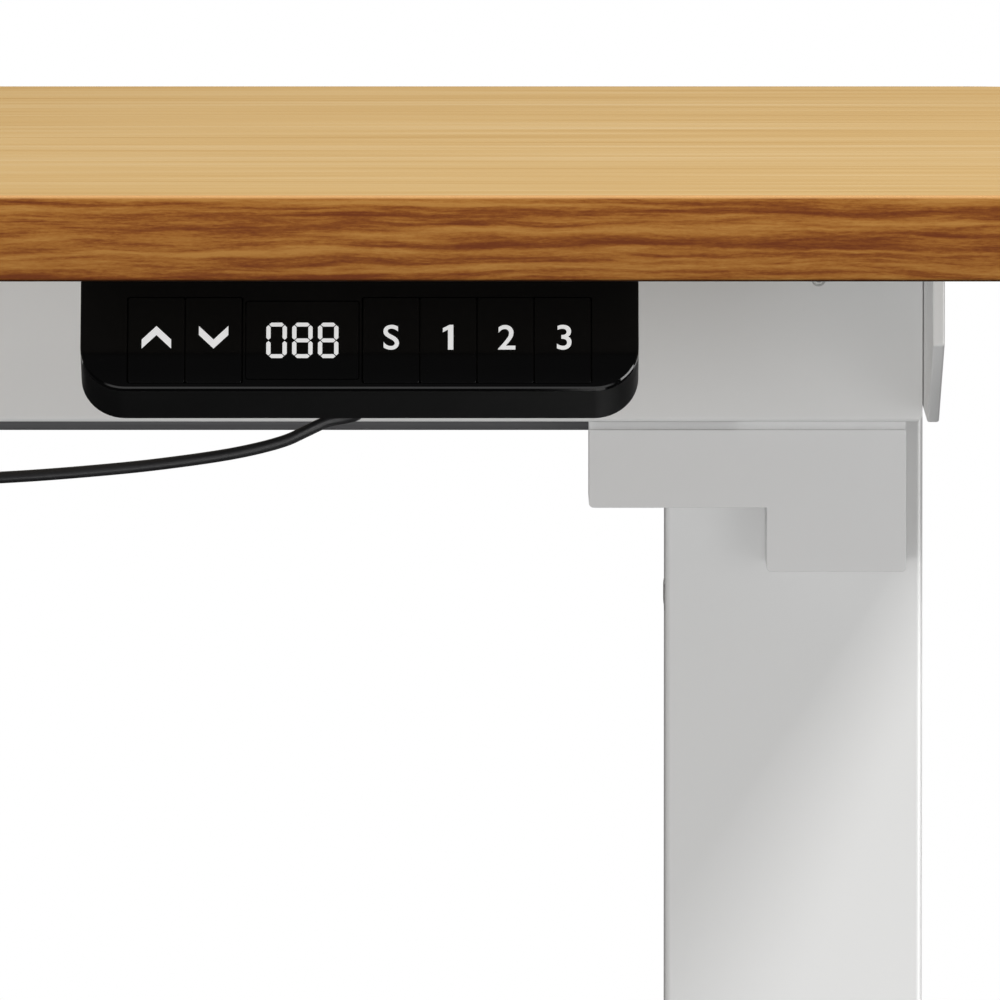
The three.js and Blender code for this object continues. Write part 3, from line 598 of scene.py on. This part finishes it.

# ---- Black mouldings: mount, strain relief, clips, plug, control box and glide pads ----
# Satin black plastic.
black_abs, s = material("black_abs", (0.014, 0.014, 0.015), 0.5, Specular_IOR_Level=0.4)
where = s.here()
spark = s.noise(where, (1300, 1300, 1300), 2.0)
cloud = s.noise(where, (25, 25, 25), 3.0)
drive(black_abs, Base_Color=cloud.mix((0.011, 0.011, 0.012, 1), (0.019, 0.019, 0.020, 1)),
      Roughness=cloud * 0.2 + 0.4, Normal=relief(s, spark, 0.00005, 0.5))
softened("handset_mount", 0.0006, black_abs)
softened("strain_relief", 0.0004, black_abs)
for number in (1, 2):
    softened(f"cable_clip_{number}", 0.00015, black_abs)
plug = softened("cable_plug", 0.0006, black_abs)
softened("control_box", 0.0008, black_abs)
softened("control_box_lid", 0.0006, black_abs)
for side in sides:
    for place in ("front", "rear"):
        softened(f"glide_{place}_{side}", 0.0008, black_abs)

# ---- Circuit boards ----
# Fibreglass boards: a black one in the handset and a green one in the control box.
green_board, s = material("green_board", (0.02, 0.14, 0.05), 0.4)
weave = s.noise(s.here(), (800, 800, 800), 2.0)
drive(green_board, Base_Color=weave.mix((0.015, 0.11, 0.04, 1), (0.03, 0.17, 0.06, 1)),
      Roughness=weave * 0.2 + 0.3)
black_board, s = material("black_board", (0.004, 0.004, 0.004), 0.5)
weave = s.noise(s.here(), (800, 800, 800), 2.0)
drive(black_board, Base_Color=weave.mix((0.003, 0.003, 0.003, 1), (0.006, 0.006, 0.006, 1)),
      Roughness=weave * 0.2 + 0.4)
softened("handset_board", 0.0002, black_board)
softened("control_board", 0.0002, green_board)

# ---- Fasteners ----
# Button-head bolts and wood screws with a hexagon socket: through the rails into the column heads,
# up through the flanges into the board, and through the base plates into the feet.
zinc, s = material("zinc_plate", (0.55, 0.55, 0.53), 0.35, 0.35)
patina = s.noise(s.here(), (500, 500, 500), 4.0)
drive(zinc, Base_Color=patina.mix((0.46, 0.46, 0.45, 1), (0.62, 0.62, 0.60, 1)),
      Roughness=patina * 0.2 + 0.28)
black_zinc, s = material("black_zinc", (0.02, 0.02, 0.02), 0.4, 0.5)
patina = s.noise(s.here(), (500, 500, 500), 4.0)
drive(black_zinc, Base_Color=patina.mix((0.015, 0.015, 0.016, 1), (0.03, 0.03, 0.031, 1)),
      Roughness=patina * 0.2 + 0.32)
ROUND = 24


def bolt(name, place, outwards, radius, height, finish, body):
    """A domed head seated at a place, with its socket facing outwards."""
    angles = [math.tau * i / ROUND for i in range(ROUND)]

    def circle(r, z):
        return [(r * math.cos(a), r * math.sin(a), z) for a in angles]

    def hexagon(r, z):
        sides = [r * math.cos(math.pi / 6) / math.cos((a % (math.pi / 3)) - math.pi / 6) for a in angles]
        return [(reach * math.cos(a), reach * math.sin(a), z) for reach, a in zip(sides, angles)]

    key_size = radius * 0.42
    rings = [circle(radius, 0), circle(radius, height * 0.2), circle(radius * 0.93, height * 0.5),
             circle(radius * 0.78, height * 0.8), circle(radius * 0.58, height),
             hexagon(key_size, height), hexagon(key_size, height * 0.35)]
    mesh = loft(name, rings)
    for face in mesh.polygons:
        face.use_smooth = face.index < ROUND * 4
    turn = Vector(outwards).to_track_quat("Z", "Y").to_matrix().to_4x4()
    mesh.transform(Matrix.Translation(place) @ turn)
    made = new_object(name, mesh, finish)
    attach(made, body)
    return made


RAIL_BOLT_X, RAIL_BOLT_DROP = 0.5087, 0.0102
FLANGE_SCREWS = (-0.17, -0.1, 0.1, 0.17)
FLANGE_MIDDLE, FLANGE_THICK = 0.018, 0.0026
BASE_BOLTS = ((-0.026, -0.042), (0.026, -0.042), (-0.026, 0.042), (0.026, 0.042))
BASE_THICK = 0.004
GUIDE_SCREWS = (-0.012, 0.012)
GUIDE_DROP = 0.1085
for end, side in ((1, "right"), (-1, "left")):
    for place, back in (("front", -1), ("rear", 1)):
        rail_low, rail_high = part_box(f"{place}_rail")
        rail_face = rail_low.y if back < 0 else rail_high.y
        bolt(f"rail_bolt_{place}_{side}", (end * RAIL_BOLT_X, rail_face, rail_high.z - RAIL_BOLT_DROP),
             (0, back, 0), 0.0022, 0.0014, zinc, "upper_frame")
    bracket_low, bracket_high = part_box(f"side_bracket_{side}")
    flange_x = (bracket_low.x if end > 0 else bracket_high.x) + end * FLANGE_MIDDLE
    for number, y in enumerate(FLANGE_SCREWS, 1):
        bolt(f"board_screw_{side}_{number}", (flange_x, y, bracket_high.z - FLANGE_THICK), (0, 0, -1),
             0.0045, 0.0024, zinc, "upper_frame")
    column_low, column_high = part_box(f"inner_column_{side}")
    middle = (column_low.x + column_high.x) / 2
    for number, (x, y) in enumerate(BASE_BOLTS, 1):
        bolt(f"base_bolt_{side}_{number}", (middle + x, y, column_low.z + BASE_THICK), (0, 0, 1),
             0.0065, 0.0036, black_zinc, f"{side}_leg")
    outer_low, outer_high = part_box(f"outer_column_{side}")
    inner_face = outer_low.x if end > 0 else outer_high.x
    for number, y in enumerate(GUIDE_SCREWS, 1):
        bolt(f"guide_screw_{side}_{number}", (inner_face, y, outer_high.z - GUIDE_DROP), (-end, 0, 0),
             0.0042, 0.0003, zinc, "upper_frame")

MOUNT_END, MOUNT_BACK, MOUNT_THICK = 0.015, 0.012, 0.0024
mount_low, mount_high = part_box("handset_mount")
for number, x in enumerate((mount_low.x + MOUNT_END, mount_high.x - MOUNT_END), 1):
    bolt(f"handset_screw_{number}", (x, mount_high.y - MOUNT_BACK, mount_high.z - MOUNT_THICK),
         (0, 0, -1), 0.004, 0.0022, zinc, "upper_frame")
LID_END, LID_HALF = 0.006, 0.026
lid_low, lid_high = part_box("control_box_lid")
for number, (x, y) in enumerate((
        (lid_low.x + LID_END, -LID_HALF), (lid_low.x + LID_END, LID_HALF),
        (lid_high.x - LID_END, -LID_HALF), (lid_high.x - LID_END, LID_HALF)), 1):
    bolt(f"lid_screw_{number}", (x, y, lid_low.z), (0, 0, -1), 0.0036, 0.002, zinc, "upper_frame")

# ---- Studio: a pale floor, a white surround and soft lights ----
# The frame is the body that stays put when the desk is raised, so the floor goes with a leg's foot.
FLOOR_RADIUS = 3.2
FLOOR_SIDES = 96
floor_mesh = loft("studio_floor", [
    [(FLOOR_RADIUS * math.cos(a), FLOOR_RADIUS * math.sin(a), z)
     for a in (math.tau * i / FLOOR_SIDES for i in range(FLOOR_SIDES))]
    for z in (-0.02, 0.0)])
pale, s = material("studio_pale", (0.84, 0.84, 0.84), 0.8)
mottle = s.noise(s.here(), (3, 3, 3), 2.0)
drive(pale, Base_Color=mottle.mix((0.83, 0.83, 0.83, 1), (0.85, 0.85, 0.85, 1)))
floor = new_object("studio_floor", floor_mesh, pale)
floor.visible_glossy = False
floor.visible_diffuse = False
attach(floor, "right_leg")

# The surround is white to the eye, even and dimmer as a light, and dark in reflections but for
# one bright low strip in front, which draws the line along the handset's chamfer.
world = bpy.data.worlds.new("studio")
bpy.context.scene.world = world
world.use_nodes = True
tree = world.node_tree
tree.nodes.clear()
start = Socket(tree)
path = tree.nodes.new("ShaderNodeLightPath")
seen = Socket(tree, path.outputs["Is Camera Ray"])
mirrored = Socket(tree, path.outputs["Is Glossy Ray"])
upwards = start.node("ShaderNodeSeparateXYZ", {}, {"Vector": start.here("Generated")}, out=2)
frontwards = start.node("ShaderNodeSeparateXYZ", {}, {"Vector": start.here("Generated")}, out=1)
sky = start.node("ShaderNodeMapRange", {}, {
    "Value": upwards, "From Min": -0.08, "From Max": 0.08})
soft = sky * 0.07 + 0.40
low_band = start.node("ShaderNodeMapRange", {}, {
    "Value": start.maths("ABSOLUTE", upwards + 0.56), "From Min": 0.16, "From Max": 0.08})
ahead = start.node("ShaderNodeMapRange", {}, {
    "Value": frontwards, "From Min": -0.2, "From Max": -0.7})
sharp = sky * 0.12 + low_band * ahead * 3.2 + 0.02
strength = seen + (1 - seen) * ((1 - mirrored) * soft + mirrored * sharp)
background = start.node("ShaderNodeBackground", {}, {"Color": (1, 1, 1, 1), "Strength": strength})
tree.links.new(background.port, tree.nodes.new("ShaderNodeOutputWorld").inputs["Surface"])
bpy.context.scene.view_settings.view_transform = "Standard"


def soft_light(name, place, aim, size, power):
    """A round lamp of some width, turned towards a point."""
    light = bpy.data.lights.new(name, "AREA")
    light.shape = "DISK"
    light.size = size
    light.energy = power
    made = bpy.data.objects.new(name, light)
    bpy.context.scene.collection.objects.link(made)
    made.location = place
    made.rotation_euler = (Vector(aim) - Vector(place)).to_track_quat("-Z", "Y").to_euler()
    made.visible_camera = False
    return made


soft_light("key", (2.6, -1.55, 4.6), (0.5, 0, 0.7), 0.9, 175)
soft_light("left_fill", (-0.9, -4.6, 0.5), (0.4, 0, 0.8), 1.4, 43)
soft_light("right_fill", (1.8, -4.5, 0.45), (0.45, 0, 0.75), 1.4, 15)
side_panel = soft_light("side_panel", (3.0, -1.4, 0.5), (0.45, -0.28, 0.83), 1.7, 130)
side_panel.visible_diffuse = False
